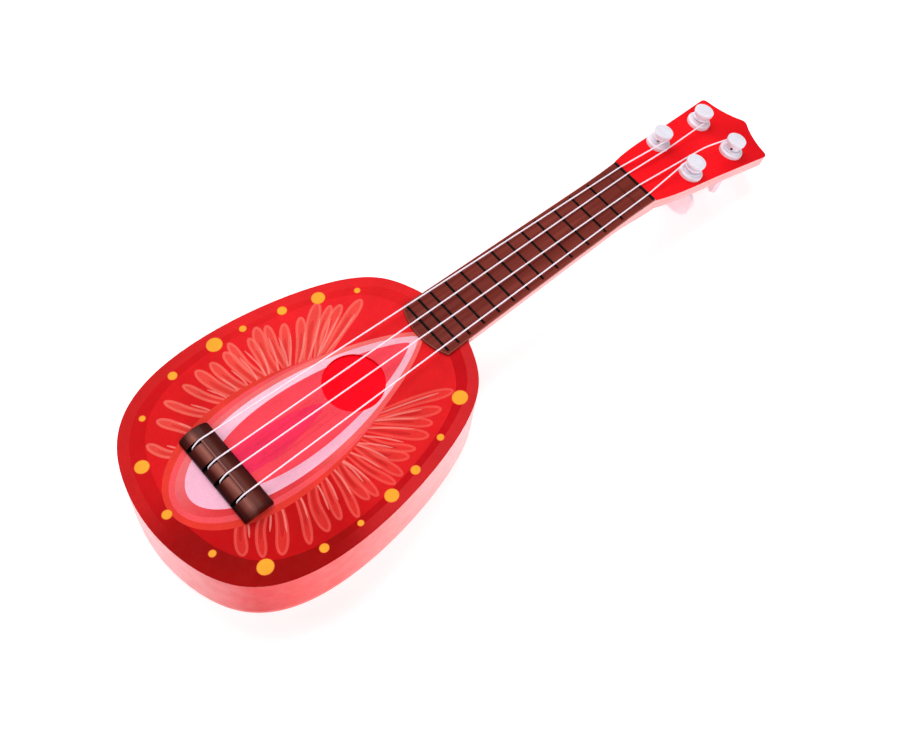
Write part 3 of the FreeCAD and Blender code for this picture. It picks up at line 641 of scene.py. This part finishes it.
def tuner_material():
    """Pale plastic, pinker on the keys below the headstock, with painted shade in the hole of each post."""
    m = Material("tuner_white")
    pale = m.ramp(m.noise(120, detail=6), ((0.3, (216, 212, 222)), (0.5, (226, 223, 234)),
                                           (0.75, (236, 233, 244))))
    head, height = m.from_head()
    rose = m.ramp(m.noise(90, detail=5), ((0.3, (232, 202, 212)), (0.7, (246, 224, 232))))
    colour = m.mix(m.span(height, 1, 0, -12 * MM, -8 * MM), pale, rose)
    # The hole in each post is painted dark: painted shade.
    inside = None
    for u, v in TUNERS:
        near = m.math("LESS_THAN", m.distance(head, u * MM, v * MM), 3.5 * MM)
        inside = m.math("MAXIMUM", inside, near) if inside else near
    level = m.within(height, 4.35 * MM, 0.75 * MM)
    colour = m.mix(m.math("MULTIPLY", inside, level), colour, (70, 30, 40))
    m.set(Base_Color=colour, Specular_IOR_Level=0.3, Subsurface_Weight=0.15,
          Subsurface_Radius=(0.003, 0.002, 0.002), Subsurface_Scale=0.5)
    m.set(Roughness=m.span(m.noise(480, detail=5), 0.25, 0.42))
    m.bump((m.noise(240, detail=3), 0.04, 0.0004), (m.noise(2600, detail=3), 0.05, 0.00008))
    return m.material


def simple_material(name, stops, scale, rough, specular=0.4, **extra):
    """Moulded or drawn stock: slow colour drift, fine grain in gloss and bump."""
    m = Material(name)
    m.set(Base_Color=m.ramp(m.noise(scale, detail=6), stops), Specular_IOR_Level=specular, **extra)
    m.set(Roughness=m.span(m.noise(scale * 4, detail=5), *rough))
    m.bump((m.noise(scale * 2, detail=3), 0.06, 0.0004), (m.noise(2600, detail=3), 0.06, 0.00008))
    return m.material


def all_materials():
    nylon = simple_material("string_nylon", ((0.3, (236, 220, 234)), (0.7, (250, 238, 248))), 300,
                            (0.2, 0.35), 0.5, Subsurface_Weight=0.2,
                            Subsurface_Radius=(0.001, 0.001, 0.001), Subsurface_Scale=0.5)
    black = simple_material("nut_black", ((0.3, (5, 3, 3)), (0.7, (20, 12, 11))), 300, (0.3, 0.5),
                            0.1)
    rubber = simple_material("washer_rubber", ((0.3, (14, 14, 14)), (0.7, (30, 30, 30))), 300, (0.6, 0.8))
    steel = simple_material("screw_steel", ((0.3, (150, 150, 154)), (0.7, (196, 196, 200))), 500,
                            (0.25, 0.45), Metallic=1.0)
    return {
        "shell_pink": shell_material(), "soundboard_artwork": print_material(),
        "headstock_red": head_material(), "fretboard_brown": fretboard_material(),
        "bridge_brown": bridge_material(), "tuner_white": tuner_material(), "string_nylon": nylon,
        "nut_black": black, "washer_rubber": rubber, "screw_steel": steel,
    }


def dress(piece, material):
    piece.data.materials.clear()
    piece.data.materials.append(material)


def soften(piece, width):
    """Rounds a CAD node's sharp edges a little, so that they catch the light."""
    weld = piece.modifiers.new("weld", "WELD")
    weld.merge_threshold = 1e-6
    bevel = piece.modifiers.new("soft_edges", "BEVEL")
    bevel.width = width
    bevel.segments = 2
    bevel.limit_method = "ANGLE"
    bevel.angle_limit = math.radians(35.0)
    bevel.harden_normals = False


def shade(piece, angle):
    """Smooth shading that breaks at sharp edges."""
    bm = bmesh.new()
    bm.from_mesh(piece.data)
    sharp = [e.calc_face_angle(math.pi) > math.radians(angle) for e in bm.edges]
    bm.free()
    piece.data.polygons.foreach_set("use_smooth", [True] * len(piece.data.polygons))
    attributes = piece.data.attributes
    layer = attributes.get("sharp_edge") or attributes.new("sharp_edge", "BOOLEAN", "EDGE")
    layer.data.foreach_set("value", sharp)


# ---------------------------------------------------------------- string ends
END_SIDES = 16
END_RINGS = ((-0.1, 1.0), (2.55, 1.0), (2.75, 0.6))   # millimetres along, share of the radius


def last_rings(node):
    """Centres of the last two rings of vertices along a string."""
    co = np.array([v.co for v in NODES[node].data.vertices])
    far = co[:, 1].max()
    end = co[co[:, 1] > far - 0.3 * MM].mean(0)
    rest = co[co[:, 1] < far - 1.0 * MM]
    far = rest[:, 1].max()
    return end, rest[rest[:, 1] > far - 0.3 * MM].mean(0)


def string_end(number, material):
    """The last short run of a string, from where the CAD string stops to its turns on the post."""
    end, before = last_rings(f"string_{number}")
    way = Vector(end - before).normalized()
    across = way.orthogonal().normalized()
    other = way.cross(across)
    bm = bmesh.new()
    rings = []
    for along, share in END_RINGS:
        ring = []
        for i in range(END_SIDES):
            turn = 2 * math.pi * i / END_SIDES
            side = across * math.cos(turn) + other * math.sin(turn)
            ring.append(bm.verts.new(Vector(end) + way * along * MM + side * STRING_R * share))
        rings.append(ring)
    for one, two in zip(rings, rings[1:]):
        for i in range(END_SIDES):
            after = (i + 1) % END_SIDES
            bm.faces.new((one[i], one[after], two[after], two[i]))
    bm.faces.new(rings[0][::-1])
    bm.faces.new(rings[-1])
    for f in bm.faces:
        f.smooth = len(f.verts) == 4
    mesh = bpy.data.meshes.new(f"string_end_{number}")
    bm.to_mesh(mesh)
    bm.free()
    piece = bpy.data.objects.new(f"string_end_{number}", mesh)
    bpy.context.scene.collection.objects.link(piece)
    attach(piece, "root")
    dress(piece, material)


# ---------------------------------------------------------------- room, light, camera
def floor():
    mesh = bpy.data.meshes.new("floor")
    bm = bmesh.new()
    bmesh.ops.create_grid(bm, x_segments=8, y_segments=8, size=6)
    bm.to_mesh(mesh)
    bm.free()
    piece = bpy.data.objects.new("floor", mesh)
    piece.location.z = -0.0003
    bpy.context.scene.collection.objects.link(piece)
    m = Material("floor")
    pale = m.ramp(m.noise(2, detail=3), ((0.3, (251, 251, 251)), (0.7, (254, 254, 254))))
    m.set(Base_Color=pale, Roughness=0.9, Specular_IOR_Level=0.1, Emission_Color=pale,
          Emission_Strength=0.3)
    dress(piece, m.material)


def area_light(name, place, target, size, power):
    light = bpy.data.lights.new(name, "AREA")
    light.shape = "DISK"
    light.size = size
    light.energy = power
    lamp = bpy.data.objects.new(name, light)
    lamp.location = place
    way = Vector(target) - Vector(place)
    lamp.rotation_euler = way.to_track_quat("-Z", "Y").to_euler()
    bpy.context.scene.collection.objects.link(lamp)


def lights():
    world = bpy.data.worlds.new("studio")
    world.use_nodes = True
    world.node_tree.nodes["Background"].inputs["Color"].default_value = (1, 1, 1, 1)
    world.node_tree.nodes["Background"].inputs["Strength"].default_value = 0.45
    bpy.context.scene.world = world
    area_light("key", (-0.7, 0.2, 1.3), (0, 0, 0.02), 1.2, 13.5)
    area_light("fill", (0.9, -0.7, 1.1), (0, -0.02, 0.02), 1.3, 7.5)
    area_light("right", (1.3, 0.1, 0.35), (0.05, -0.05, 0.02), 0.7, 3.2)
    area_light("left", (-0.9, -1.0, 0.35), (-0.03, -0.14, 0.02), 0.6, 2.5)


CAMERA_PLACE = (189.72 * MM, -235.88 * MM, 535.25 * MM)
CAMERA_TURN = (27.502, -4.7516, 49.1012)      # degrees about X, Y and Z
CAMERA_LENS = 51.2095                         # millimetres, for a frame 36 mm wide
CAMERA_SHIFT = (-0.00217, -0.00126)           # shares of the frame's width


def camera():
    lens = bpy.data.cameras.new("camera")
    lens.sensor_fit = "HORIZONTAL"
    lens.sensor_width = 36.0
    lens.lens = CAMERA_LENS
    lens.shift_x, lens.shift_y = CAMERA_SHIFT
    view = bpy.data.objects.new("camera", lens)
    view.location = CAMERA_PLACE
    view.rotation_euler = [math.radians(angle) for angle in CAMERA_TURN]
    bpy.context.scene.collection.objects.link(view)
    bpy.context.scene.camera = view


def main():
    film = printed_film("printed_face", "soundboard_print", "root", FILM_T)
    materials = all_materials()
    dress(film, materials["soundboard_artwork"])
    for part in frame["record"]["subparts"]:
        node = NODES[part["node"]]
        dress(node, materials[part["material_slot"]])
        shade(node, STRING_SMOOTH_ANGLE if part["node"].startswith("string_") else SMOOTH_ANGLE)
    for name in ("front_shell", "back_shell"):
        soften(NODES[name], EDGE_SOFT)
    for number in range(1, TUNER_COUNT + 1):
        string_end(number, materials["string_nylon"])
    floor()
    lights()
    camera()
    bpy.context.scene.view_settings.view_transform = "Standard"


main()
